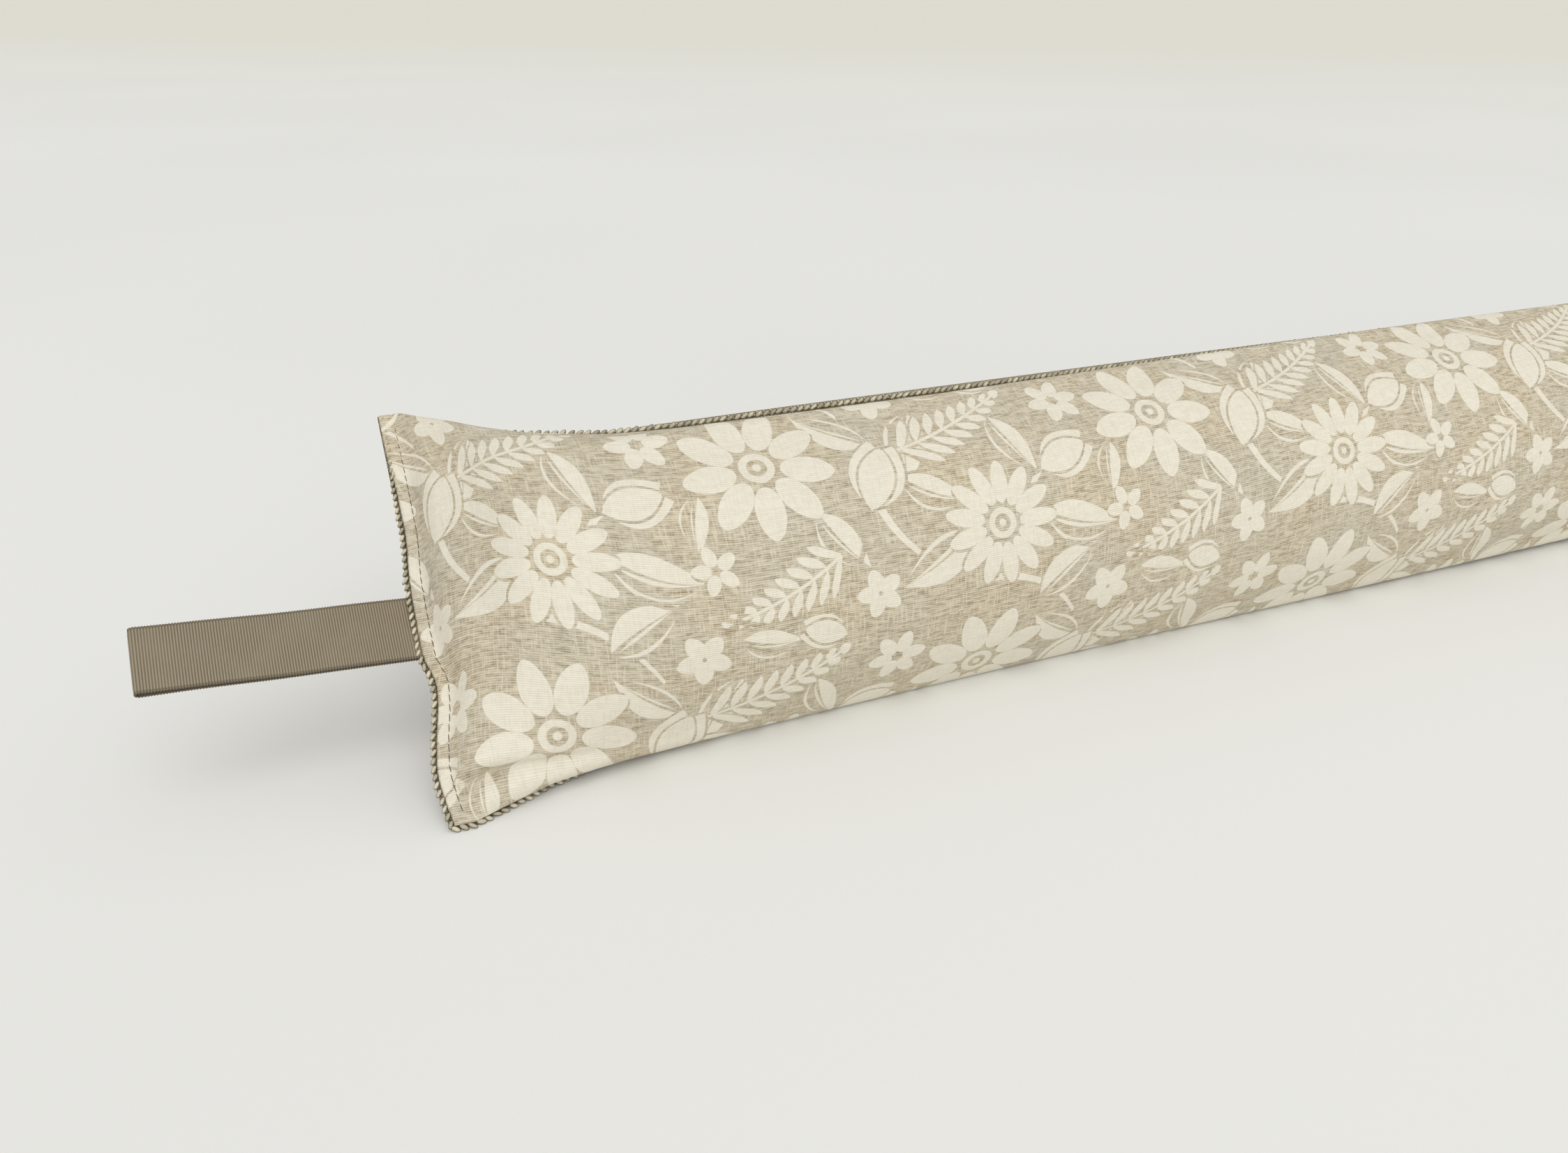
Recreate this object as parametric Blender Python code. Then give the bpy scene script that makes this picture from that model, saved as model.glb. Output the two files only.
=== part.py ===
"""Draught excluder: a long filled cloth tube, sewn flat at both ends, with a ribbon loop in one end.

Metres, +Z up. The tube lies along X with its printed front towards -Y and its ribbon end at -X.
The origin is on the floor under mid-length, on the flat that the tube rests on.
"""

import math

import bmesh
import bpy
import numpy as np
from mathutils import Vector

LENGTH = 0.900  # end edge to end edge, without the ribbon
PANEL_WIDTH = 0.168  # of each cloth, from seam to seam
BULGE = 0.0475  # of a full section, seam plane to cloth
SEAM_LEAN = 24.7  # degrees that the seam plane leans back in a full section
AXIS_HEIGHT = 0.0552
FOOT_SHIFT = 0.0067  # moves the tube back, so that the flat that it rests on lies under the origin
EDGE_HALF = 0.00165  # half the thickness of the edge that is sewn flat
EDGE_CORNER = 0.0004  # how far the rounding of that edge reaches in

FRONT_THICK = 0.0012
GAP = 0.0003
RIM = 0.0018  # back cloth that shows along both edges of the front
STEP = 0.0002  # run of the rim's inner wall
RECESS = FRONT_THICK + GAP
FRONT_MARGIN = RIM + STEP + 0.0006
END_MARGIN = 0.0015  # back cloth that shows past each end of the front

# One sewn end, which both ends share: the filling pushes the seams together as it rounds the tube.
END_COLUMNS = ("distance", "bulge", "lean", "centre_y", "centre_z")
END_ROWS = (
    (0.000, 0.0000, 50.2, 0.0169, 0.0547),
    (0.006, 0.0010, 50.0, 0.0165, 0.0547),
    (0.012, 0.0125, 48.5, 0.0145, 0.0550),
    (0.020, 0.0225, 46.0, 0.0120, 0.0553),
    (0.038, 0.0370, 38.5, 0.0060, 0.0558),
    (0.060, 0.0440, 32.0, 0.0020, 0.0558),
    (0.085, 0.0470, 27.0, 0.0000, 0.0554),
    (0.110, BULGE, SEAM_LEAN, 0.0000, AXIS_HEIGHT),
)
FULL_FROM = END_ROWS[-1][0]

# How the ribbon end's edge wanders along X, from its top corner (0) to its bottom corner (1).
WAVE_COLUMNS = ("share", "shift")
WAVE_ROWS = (
    (0.00, 0.0027),
    (0.31, 0.0023),
    (0.45, 0.0001),
    (0.61, -0.0005),
    (0.68, 0.0020),
    (0.73, 0.0010),
    (0.81, -0.0021),
    (0.88, -0.0037),
    (1.00, -0.0015),
)
WAVE_FADE = 0.030

END_STATIONS = (0.0, END_MARGIN, 0.004, 0.008, 0.012, 0.017, 0.023, 0.030, 0.040, 0.052, 0.068, 0.087)
MIDDLE_STEP = 0.0523
ACROSS = 23  # facets of the front from edge to edge

RIBBON_WIDTH = 0.025
RIBBON_REACH = 0.093
RIBBON_THICK = 0.0010
RIBBON_LEAN = 53.0  # degrees that its width leans back from upright
RIBBON_RISE = 4.0  # degrees that it rises towards its fold
RIBBON_BELOW_MIDDLE = 0.0073  # along the end's edge
RIBBON_HALF_GAP_SEAM = 0.00075  # between the middles of its two layers, halved
RIBBON_HALF_GAP_FOLD = 0.00170
RIBBON_POINTS = 9  # along each layer
FOLD_POINTS = 8

COLOURS = {
    "filled_body": (0.36, 0.33, 0.27),
    "front_panel": (0.56, 0.51, 0.43),
    "ribbon_loop": (0.26, 0.225, 0.17),
}


def clear_scene():
    for item in list(bpy.data.objects):
        bpy.data.objects.remove(item, do_unlink=True)


def smooth_between(at, known, values):
    """A curve through the values at the known places that never overshoots them."""
    steps = np.diff(known)
    slopes = np.diff(values) / steps
    tangents = np.zeros(len(known))
    for i in range(1, len(known) - 1):
        before, after = slopes[i - 1], slopes[i]
        if before * after > 0:
            tangents[i] = 2 * before * after / (before + after)
    tangents[0], tangents[-1] = slopes[0], slopes[-1]
    i = np.clip(np.searchsorted(known, at, side="right") - 1, 0, len(steps) - 1)
    t = (at - known[i]) / steps[i]
    return (
        values[i] * (1 + 2 * t) * (1 - t) ** 2
        + tangents[i] * steps[i] * t * (1 - t) ** 2
        + values[i + 1] * t * t * (3 - 2 * t)
        + tangents[i + 1] * steps[i] * t * t * (t - 1)
    )


def end_value(column, distance):
    """A column of the end table, this far from the nearer end."""
    table = np.array(END_ROWS)
    k = END_COLUMNS.index(column)
    return float(smooth_between(min(distance, FULL_FROM), table[:, 0], table[:, k]))


def end_wave(share, distance):
    """Shift along X of a point of the ribbon end, fading into the tube."""
    table = np.array(WAVE_ROWS)
    shift = smooth_between(share, table[:, 0], table[:, WAVE_COLUMNS.index("shift")])
    return shift * math.exp(-((distance / WAVE_FADE) ** 2))


def half_ellipse(half_chord, bulge, edge):
    """Across and out coordinates of a half section, from its top seam to its bottom seam."""
    turn = np.linspace(0.0, math.pi, 721)
    across = half_chord * np.cos(turn)
    from_tip = half_chord - np.abs(across)
    rounding = np.sqrt(1 - (1 - np.minimum(from_tip / EDGE_CORNER, 1)) ** 2)
    return across, bulge * np.sin(turn) + edge * rounding


def lengths_along(across, out):
    return np.concatenate([[0.0], np.cumsum(np.hypot(np.diff(across), np.diff(out)))])


def half_chord_for(bulge):
    """Half the distance between the seams that leaves the cloth its full width over this bulge."""
    low, high = BULGE, PANEL_WIDTH / 2
    for _ in range(40):
        middle = (low + high) / 2
        across, out = half_ellipse(middle, bulge, 0.0)
        if lengths_along(across, out)[-1] < PANEL_WIDTH:
            low = middle
        else:
            high = middle
    return high


def cloth_points(x, places, insets, side):
    """Points of one cloth at station x, at these distances from its top seam. The side is 1 for the front."""
    distance = min(x, LENGTH - x)
    bulge = end_value("bulge", distance)
    edge = EDGE_HALF * (1 - bulge / BULGE)
    across, out = half_ellipse(half_chord_for(bulge), bulge, edge)
    along = lengths_along(across, out)
    share = np.array(places) / PANEL_WIDTH
    at = share * along[-1]
    tangent_across = np.interp(at, along, np.gradient(across, along))
    tangent_out = np.interp(at, along, np.gradient(out, along))
    size = np.hypot(tangent_across, tangent_out)
    inset = np.array(insets) / size
    u = np.interp(at, along, across) - tangent_out * inset
    v = side * (np.interp(at, along, out) - np.abs(tangent_across) * inset)
    lean = math.radians(end_value("lean", distance))
    y = FOOT_SHIFT + end_value("centre_y", distance) + u * math.sin(lean) - v * math.cos(lean)
    z = end_value("centre_z", distance) + u * math.cos(lean) + v * math.sin(lean)
    shift = end_wave(share, x) if x < LENGTH / 2 else np.zeros(len(u))
    return [Vector((x - LENGTH / 2 + s, b, max(c, 0.0))) for s, b, c in zip(shift, y, z)]


def loft(name, rows):
    """A closed solid through rows of points. Each row is an upper and a lower line of equal length."""
    mesh = bmesh.new()
    loops = [[mesh.verts.new(p) for p in upper + lower[::-1]] for upper, lower in rows]
    count = len(loops[0])
    for first, second in zip(loops, loops[1:]):
        for i in range(count):
            j = (i + 1) % count
            a, b, c, d = first[i], first[j], second[j], second[i]
            # The diagonals of both lines run alike, so that cloths laid on each other have the same facets.
            halves = ((a, b, c), (a, c, d)) if i < count // 2 else ((a, b, d), (b, c, d))
            for half in halves:
                mesh.faces.new(half)
    for loop in (loops[0], loops[-1]):
        for i in range(count // 2 - 1):
            mesh.faces.new((loop[i], loop[i + 1], loop[count - 2 - i], loop[count - 1 - i]))
    bmesh.ops.remove_doubles(mesh, verts=mesh.verts, dist=1e-6)
    bmesh.ops.recalc_face_normals(mesh, faces=mesh.faces)
    data = bpy.data.meshes.new(name)
    mesh.to_mesh(data)
    mesh.free()
    data.shade_smooth()
    data.set_sharp_from_angle(angle=math.radians(40))
    return bpy.data.objects.new(name, data)


def stations():
    """Places along the tube where a section is set, close together at both ends."""
    steps = round((LENGTH - 2 * FULL_FROM) / MIDDLE_STEP)
    middle = np.linspace(FULL_FROM, LENGTH - FULL_FROM, steps + 1)
    far = [LENGTH - x for x in reversed(END_STATIONS)]
    return [*END_STATIONS, *middle, *far]


def front_places():
    return list(np.linspace(FRONT_MARGIN, PANEL_WIDTH - FRONT_MARGIN, ACROSS + 1))


def filled_body():
    """The back cloth round the filling, with a shallow recess that the front lies in."""
    wall = [0.0, RIM, RIM + STEP]
    places = wall + front_places() + [PANEL_WIDTH - p for p in reversed(wall)]
    recess = [0.0, 0.0] + [RECESS] * (len(places) - 4) + [0.0, 0.0]
    flush = [0.0] * len(places)
    rows = [
        (cloth_points(x, places, recess, 1), cloth_points(x, places, flush, -1)) for x in stations()
    ]
    return loft("filled_body", rows)


def front_panel():
    """The printed front, a sheet over the front half of the filling."""
    places = front_places()
    outer = [0.0] * len(places)
    inner = [FRONT_THICK] * len(places)
    rows = [
        (cloth_points(x, places, outer, 1), cloth_points(x, places, inner, 1))
        for x in stations()[1:-1]
    ]
    return loft("front_panel", rows)


def ribbon_profile():
    """Places along and across the loop's middle line, from one sewn end round the fold to the other."""
    radius = RIBBON_HALF_GAP_FOLD
    straight = RIBBON_REACH - radius - RIBBON_THICK / 2
    runs = np.linspace(0.0, 1.0, RIBBON_POINTS)
    opening = RIBBON_HALF_GAP_SEAM + (radius - RIBBON_HALF_GAP_SEAM) * runs**2
    layer = [(straight * run, half) for run, half in zip(runs, opening)]
    turns = np.linspace(0.0, math.pi, FOLD_POINTS + 1)[1:-1]
    fold = [(straight + radius * math.sin(t), radius * math.cos(t)) for t in turns]
    return layer + fold + [(along, -half) for along, half in reversed(layer)]


def ribbon_loop():
    """The folded ribbon, whose two cut ends meet the sewn end."""
    lean, rise = math.radians(RIBBON_LEAN), math.radians(RIBBON_RISE)
    width = Vector((0, math.sin(lean), math.cos(lean)))
    forward = Vector((-math.cos(rise), 0, math.sin(rise)))
    facing = forward.cross(width).normalized()
    edge_lean = math.radians(end_value("lean", 0.0))
    y = FOOT_SHIFT + end_value("centre_y", 0.0) - RIBBON_BELOW_MIDDLE * math.sin(edge_lean)
    z = end_value("centre_z", 0.0) - RIBBON_BELOW_MIDDLE * math.cos(edge_lean)
    middle = 0.5 + RIBBON_BELOW_MIDDLE / PANEL_WIDTH
    spread = RIBBON_WIDTH / 2 / PANEL_WIDTH
    edge = end_wave(np.linspace(middle - spread, middle + spread, 9), 0.0).min()
    root = Vector((edge - GAP - LENGTH / 2, y, z))

    profile = [Vector((*p, 0)) for p in ribbon_profile()]
    outer, inner = [], []
    for i, point in enumerate(profile):
        before, after = profile[max(i - 1, 0)], profile[min(i + 1, len(profile) - 1)]
        tangent = (after - before).normalized()
        normal = Vector((-tangent.y, tangent.x, 0)) * RIBBON_THICK / 2
        outer.append(point + normal)
        inner.append(point - normal)

    rows = []
    for half_width in (-RIBBON_WIDTH / 2, RIBBON_WIDTH / 2):
        start = root + width * half_width
        rows.append(
            tuple([start + forward * p.x + facing * p.y for p in line] for line in (outer, inner))
        )
    return loft("ribbon_loop", rows)


def finish_material(part, roughness=0.95):
    material = bpy.data.materials.new(part.name)
    material.use_nodes = True
    shader = material.node_tree.nodes["Principled BSDF"]
    shader.inputs["Base Color"].default_value = (*COLOURS[part.name], 1)
    shader.inputs["Roughness"].default_value = roughness
    shader.inputs["Metallic"].default_value = 0.0
    part.data.materials.append(material)


def main():
    clear_scene()
    collection = bpy.data.collections.new("draught_excluder")
    bpy.context.scene.collection.children.link(collection)
    for part in (filled_body(), front_panel(), ribbon_loop()):
        finish_material(part)
        collection.objects.link(part)


main()
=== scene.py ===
"""The looks of a draught excluder: printed front, coarse woven back, ribbon loop, seams and stitching."""

import math

import bmesh
import bpy
import numpy as np
from mathutils import Euler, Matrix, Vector


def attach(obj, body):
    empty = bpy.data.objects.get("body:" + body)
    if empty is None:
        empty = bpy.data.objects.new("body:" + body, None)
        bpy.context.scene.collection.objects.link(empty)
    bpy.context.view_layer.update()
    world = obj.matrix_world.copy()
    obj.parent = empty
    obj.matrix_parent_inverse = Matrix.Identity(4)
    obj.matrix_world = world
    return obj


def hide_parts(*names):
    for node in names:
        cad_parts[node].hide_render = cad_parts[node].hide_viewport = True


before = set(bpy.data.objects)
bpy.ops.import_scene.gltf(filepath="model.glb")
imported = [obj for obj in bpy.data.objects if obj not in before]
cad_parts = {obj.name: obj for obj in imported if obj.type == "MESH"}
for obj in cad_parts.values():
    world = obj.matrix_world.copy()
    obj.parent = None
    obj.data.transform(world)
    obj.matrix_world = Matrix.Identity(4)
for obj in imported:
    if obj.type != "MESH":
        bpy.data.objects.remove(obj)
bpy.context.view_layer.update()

MM = 0.001

# ---------------------------------------------------------------- sizes

# The tube as it is cut, sewn and filled, in metres. x runs from the ribbon end to the far end, and a
# place is a distance across a cloth from its top seam.
LENGTH = 0.900
PANEL_WIDTH = 0.168
BULGE = 0.0475
SEAM_LEAN = 24.7
AXIS_HEIGHT = 0.0552
FOOT_SHIFT = 0.0067
EDGE_HALF = 0.00165
EDGE_CORNER = 0.0008
RIM = 0.0016
FRONT_MARGIN = 0.0019
END_MARGIN = 0.0013
FRONT_THICK = 0.0010
FOLD_RADIUS = 0.0011
HEM_RADIUS = 0.0008
HEM_GAP = 0.0004
HEM_FADE = 0.0005
KNOTS_INSIDE = 0.0004

END_COLUMNS = ("distance", "bulge", "lean", "centre_y", "centre_z")
END_ROWS = np.array((
    (0.000, 0.0000, 50.2, 0.0169, 0.0547),
    (0.006, 0.0010, 50.0, 0.0165, 0.0547),
    (0.012, 0.0125, 48.5, 0.0145, 0.0550),
    (0.020, 0.0225, 46.0, 0.0120, 0.0553),
    (0.038, 0.0370, 38.5, 0.0060, 0.0558),
    (0.060, 0.0440, 32.0, 0.0020, 0.0558),
    (0.085, 0.0470, 27.0, 0.0000, 0.0554),
    (0.110, BULGE, SEAM_LEAN, 0.0000, AXIS_HEIGHT),
))

# How the ribbon end's edge wanders along X, from its top corner (0) to its bottom corner (1).
WAVE_ROWS = np.array((
    (0.00, 0.0027),
    (0.31, 0.0023),
    (0.45, 0.0001),
    (0.61, -0.0005),
    (0.68, 0.0020),
    (0.73, 0.0010),
    (0.81, -0.0021),
    (0.88, -0.0037),
    (1.00, -0.0015),
))
WAVE_FADE = 0.030

# Where the seams turn towards the front: the middle and the span along x, and the turn in degrees.
TWIST_ROWS = (
    (0.24, 0.15, 8.0),
    (0.70, 0.12, -1.2),
)

# Soft troughs in the front, or ridges where the depth is negative. The columns are x_from, place_from,
# x_to, place_to, depth and width, in millimetres from the ribbon end (x) and the top seam (place).
CREASE_ROWS = (
    (3.0, 152.5, 62.0, 150.0, 5.5, 2.8),
    (3.0, 146.0, 56.0, 144.0, -2.6, 4.4),
    (6.0, 159.5, 36.0, 158.0, -0.8, 3.0),
    (9.0, 20.0, 60.0, 26.0, 1.6, 8.0),
    (7.5, 101.0, 24.0, 104.0, 1.3, 3.4),
    (7.0, 118.0, 20.0, 114.0, 0.9, 3.0),
    (7.5, 62.0, 22.0, 66.0, 0.7, 4.5),
    (890.0, 30.0, 846.0, 38.0, 1.6, 5.0),
    (893.0, 96.0, 868.0, 92.0, 1.3, 4.0),
    (893.0, 138.0, 850.0, 150.0, 2.0, 4.5),
)

CREASE_FROM_END = 0.006
CREASE_FROM_SEAM = 0.006

STITCH_LINE = 0.0057
STITCH_DENT = 0.0003
STITCH_DENT_WIDTH = 0.0006
STITCH_PITCH = 0.0036
STITCH_SIZE = (0.0034, 0.00034, 0.00034)
STITCH_RISE = 0.00007
KNOT_PITCH = 0.0029
KNOT_SIZE = {"x": (0.0038, 0.0019, 0.0019), "place": (0.0034, 0.0016, 0.0019)}
KNOT_RISE = {"x": 0.0008, "place": 0.0001}
KNOT_SLANT = 33.0
LAP_SPAN = (0.045, 0.030)
LAP_RUN = 0.006
LAP_FROM_END = 0.0001
LAP_FROM_SEAM = 0.0003
LAP_LIFT = 0.0005
LAP_SINK = 0.0015
LAP_SHRINK = 0.4

RIBBON_WIDTH = 0.025
RIBBON_REACH = 0.093
RIBBON_THICK = 0.0008
RIBBON_LEAN = 53.0
RIBBON_RISE = 4.0
RIBBON_BELOW_MIDDLE = 0.0073
RIBBON_HALF_GAP_SEAM = 0.00075
RIBBON_HALF_GAP_FOLD = 0.00170
RIBBON_TUCK = 0.0025
RIB_PITCH = 0.00094
RIB_HEIGHT = 0.00014
SCALLOP = 0.00016


# ---------------------------------------------------------------- shape of the cloth


def smooth_between(at, known, values):
    """A curve through the values at the known places that never overshoots them."""
    at = np.asarray(at, float)
    steps = np.diff(known)
    slopes = np.diff(values) / steps
    tangents = np.zeros(len(known))
    for i in range(1, len(known) - 1):
        before, after = slopes[i - 1], slopes[i]
        if before * after > 0:
            tangents[i] = 2 * before * after / (before + after)
    tangents[0], tangents[-1] = slopes[0], slopes[-1]
    i = np.clip(np.searchsorted(known, at, side="right") - 1, 0, len(steps) - 1)
    t = (at - known[i]) / steps[i]
    return (
        values[i] * (1 + 2 * t) * (1 - t) ** 2
        + tangents[i] * steps[i] * t * (1 - t) ** 2
        + values[i + 1] * t * t * (3 - 2 * t)
        + tangents[i + 1] * steps[i] * t * t * (t - 1)
    )


def end_value(column, distance):
    """A column of the end table, this far from the nearer end."""
    k = END_COLUMNS.index(column)
    return float(smooth_between(min(distance, END_ROWS[-1, 0]), END_ROWS[:, 0], END_ROWS[:, k]))


def end_wave(share, x):
    """Shift along X of a point of the ribbon end, fading into the tube."""
    return smooth_between(share, WAVE_ROWS[:, 0], WAVE_ROWS[:, 1]) * math.exp(-((x / WAVE_FADE) ** 2))


def seam_twist(x):
    """Degrees by which the seams turn towards the front, as the tube is not filled quite evenly."""
    return sum(turn * math.exp(-(((x - middle) / span) ** 2)) for middle, span, turn in TWIST_ROWS)


def half_ellipse(half_chord, bulge, edge):
    """Across and out coordinates of a half section, from its top seam to its bottom seam."""
    turn = np.linspace(0.0, math.pi, 721)
    across = half_chord * np.cos(turn)
    from_tip = half_chord - np.abs(across)
    rounding = np.sqrt(1 - (1 - np.minimum(from_tip / EDGE_CORNER, 1)) ** 2)
    return across, bulge * np.sin(turn) + edge * rounding


def lengths_along(across, out):
    return np.concatenate([[0.0], np.cumsum(np.hypot(np.diff(across), np.diff(out)))])


def half_chord_for(bulge):
    """Half the distance between the seams that leaves the cloth its full width over this bulge."""
    low, high = BULGE, PANEL_WIDTH / 2
    for _ in range(40):
        middle = (low + high) / 2
        if lengths_along(*half_ellipse(middle, bulge, 0.0))[-1] < PANEL_WIDTH:
            low = middle
        else:
            high = middle
    return high


KNOWN_BULGES = np.linspace(0.0, BULGE, 40)
KNOWN_CHORDS = np.array([half_chord_for(b) for b in KNOWN_BULGES])


def cloth_line(x, places, side, inset=0.0):
    """Points of one cloth across the tube at x, this far under its surface. The side is 1 for the front."""
    distance = max(min(x, LENGTH - x), 0.0)
    bulge = end_value("bulge", distance)
    edge = EDGE_HALF * (1 - bulge / BULGE)
    half_chord = float(np.interp(bulge, KNOWN_BULGES, KNOWN_CHORDS))
    across, out = half_ellipse(half_chord, bulge, edge)
    along = lengths_along(across, out)
    share = np.asarray(places) / PANEL_WIDTH
    at = share * along[-1]
    tangent_across = np.interp(at, along, np.gradient(across, along))
    tangent_out = np.interp(at, along, np.gradient(out, along))
    inward = inset / np.hypot(tangent_across, tangent_out)
    u = np.interp(at, along, across) - tangent_out * inward
    v = side * (np.interp(at, along, out) - np.abs(tangent_across) * inward)
    lean = math.radians(end_value("lean", distance) - seam_twist(x))
    y = FOOT_SHIFT + end_value("centre_y", distance) + u * math.sin(lean) - v * math.cos(lean)
    z = end_value("centre_z", distance) + u * math.cos(lean) + v * math.sin(lean)
    return np.stack([x - LENGTH / 2 + end_wave(share, x), y, z], 1)


def creases(xs, places):
    """Depth of the listed troughs at each point of a grid."""
    x, place = np.meshgrid(xs / MM, places / MM, indexing="ij")
    depth = np.zeros(x.shape)
    for row in CREASE_ROWS:
        x_from, place_from, x_to, place_to, deepest, width = row
        run_x, run_place = x_to - x_from, place_to - place_from
        t = ((x - x_from) * run_x + (place - place_from) * run_place) / (run_x**2 + run_place**2)
        t = np.clip(t, 0, 1)
        away = np.hypot(x - x_from - t * run_x, place - place_from - t * run_place)
        depth += deepest * (1 - t) * np.exp(-((away / width) ** 2))
    reach = np.clip((np.minimum(xs, LENGTH - xs) - CREASE_FROM_END) / (CREASE_FROM_END / 2), 0, 1)
    seams = np.clip(np.minimum(places, PANEL_WIDTH - places) / CREASE_FROM_SEAM, 0, 1)
    return depth * MM * (reach * reach * (3 - 2 * reach))[:, None] * seams[None, :]


def lap(x, place):
    """How far the front's fold lies over the knots: 1 at the ribbon end's top corner, 0 away from it."""
    return np.exp(-((x / LAP_SPAN[0]) ** 4)) * np.exp(-((place / LAP_SPAN[1]) ** 4))


# ---------------------------------------------------------------- the filling presses on the cloth

PRESS_ALONG, PRESS_ACROSS = 151, 37
PRESS_XS = np.linspace(0, LENGTH, PRESS_ALONG)
PRESS_PLACES = np.linspace(0, PANEL_WIDTH, PRESS_ACROSS)
PRESS_FRAMES = 20
MOST_SHIFT = 0.0035


def mesh_object(name, points, faces):
    data = bpy.data.meshes.new(name)
    data.from_pydata([tuple(p) for p in points], [], [tuple(int(i) for i in f) for f in faces])
    data.update()
    made = bpy.data.objects.new(name, data)
    bpy.context.scene.collection.objects.link(made)
    data.shade_smooth()
    return made


def closed_tube(front, back):
    """Points and quads of a tube from a front and a back grid that share their seam lines."""
    rows, columns = front.shape[:2]
    ring = 2 * columns - 2
    points = np.concatenate([front, back[:, -2:0:-1]], axis=1).reshape(-1, 3)
    i, j = np.meshgrid(np.arange(rows - 1), np.arange(ring), indexing="ij")
    i, j = i.ravel(), j.ravel()
    after = (j + 1) % ring
    quads = np.stack([i * ring + j, (i + 1) * ring + j, (i + 1) * ring + after, i * ring + after], 1)
    caps = []
    for row, order in ((0, (0, 1, 2, 3)), (rows - 1, (3, 2, 1, 0))):
        for k in range(columns - 1):
            corners = (k, k + 1, (ring - k - 1) % ring, (ring - k) % ring)
            corners = [row * ring + corners[n] for n in order]
            caps.append(tuple(dict.fromkeys(corners)))
    return points, [tuple(int(n) for n in q) for q in quads] + caps


def pressed_cloth():
    """How far the filling's pressure moves each point of the front and the back, on the coarse grid."""
    grids = [np.array([cloth_line(x, PRESS_PLACES, side) for x in PRESS_XS]) for side in (1, -1)]
    still = np.zeros((2, PRESS_ALONG, PRESS_ACROSS, 3))
    points, faces = closed_tube(*grids)
    flat = []
    for side in (1, -1):
        x, place = np.meshgrid(PRESS_XS, PRESS_PLACES, indexing="ij")
        flat.append(np.stack([x, place, side * 0.001 * np.ones(x.shape)], 2))
    flat_points, _ = closed_tube(*flat)
    pad = mesh_object("pressed", points, faces)
    pad.shape_key_add(name="Basis")
    cut = pad.shape_key_add(name="cut")
    cut.data.foreach_set("co", flat_points.astype(np.float32).ravel())
    held = pad.vertex_groups.new(name="held")
    ring = 2 * PRESS_ACROSS - 2
    for n in range(len(points)):
        row, place = divmod(n, ring)
        distance = min(PRESS_XS[row], LENGTH - PRESS_XS[row])
        if place in (0, PRESS_ACROSS - 1) or distance < 0.007:
            held.add([n], 1.0, "REPLACE")
    cloth = pad.modifiers.new("filling", "CLOTH")
    settings = cloth.settings
    settings.quality = 6
    settings.mass = 0.3
    settings.tension_stiffness = settings.compression_stiffness = 15
    settings.shear_stiffness = 6
    settings.bending_stiffness = 0.4
    settings.vertex_group_mass = "held"
    settings.rest_shape_key = cut
    settings.use_pressure = True
    settings.uniform_pressure_force = 4
    settings.effector_weights.gravity = 0
    cloth.collision_settings.use_collision = False
    cloth.point_cache.frame_start, cloth.point_cache.frame_end = 1, PRESS_FRAMES
    for number in range(1, PRESS_FRAMES + 1):
        bpy.context.scene.frame_set(number)
    moved = np.empty(len(points) * 3, np.float32)
    evaluated = pad.evaluated_get(bpy.context.evaluated_depsgraph_get())
    evaluated.data.vertices.foreach_get("co", moved)
    bpy.context.scene.frame_set(1)
    shift = moved.reshape(-1, 3) - points
    size = np.linalg.norm(shift, axis=1, keepdims=True)
    shift *= np.tanh(size / MOST_SHIFT) * MOST_SHIFT / np.maximum(size, 1e-9)
    shift = shift.reshape(PRESS_ALONG, ring, 3)
    still[0] = shift[:, :PRESS_ACROSS]
    still[1, :, 1:-1] = shift[:, :PRESS_ACROSS - 1:-1]
    bpy.data.objects.remove(pad, do_unlink=True)
    return still


SHIFTS = pressed_cloth()


def blend_weights(at, count, span):
    """Rows of weights that read a smooth curve through evenly spaced values at these places."""
    place = np.clip(np.asarray(at) / span, 0, 1) * (count - 1)
    start = np.clip(np.floor(place).astype(int), 0, count - 2)
    t = place - start
    parts = (
        (-1, (1 - t) ** 3 / 6),
        (0, (3 * t**3 - 6 * t**2 + 4) / 6),
        (1, (-3 * t**3 + 3 * t**2 + 3 * t + 1) / 6),
        (2, t**3 / 6),
    )
    weights = np.zeros((len(place), count))
    for offset, share in parts:
        weights[np.arange(len(place)), np.clip(start + offset, 0, count - 1)] += share
    return weights


def pressed_shift(xs, places, side):
    """Shift of a grid of points of one cloth, with the wrinkles that the filling's pressure gives."""
    along = blend_weights(xs, PRESS_ALONG, LENGTH)
    across = blend_weights(places, PRESS_ACROSS, PANEL_WIDTH)
    field = SHIFTS[0 if side > 0 else 1]
    shift = np.einsum("ia,abk,jb->ijk", along, field, across)
    edge = np.minimum(np.asarray(places), PANEL_WIDTH - np.asarray(places))
    fade = np.clip(edge / 0.004, 0, 1) ** 2
    return shift * fade[None, :, None]


def cloth_grid(xs, places, side, inset=0.0):
    """A grid of points of one cloth, this far under its surface, with its wrinkles and creases."""
    inset = np.broadcast_to(inset, (len(xs), len(places)))
    if side > 0:
        inset = inset + creases(xs, places)
    grid = np.array([cloth_line(x, places, side, row) for x, row in zip(xs, inset)])
    grid += pressed_shift(xs, places, side)
    grid[:, :, 2] = np.maximum(grid[:, :, 2], 0.0)
    return grid


def spaced(*runs):
    """Places along a line from (start, end, step) runs, each run without its end but the last."""
    parts = [np.linspace(a, b, max(2, round((b - a) / step) + 1)) for a, b, step in runs]
    return np.concatenate([p[:-1] for p in parts[:-1]] + [parts[-1]])


# ---------------------------------------------------------------- cloth pieces


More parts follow.
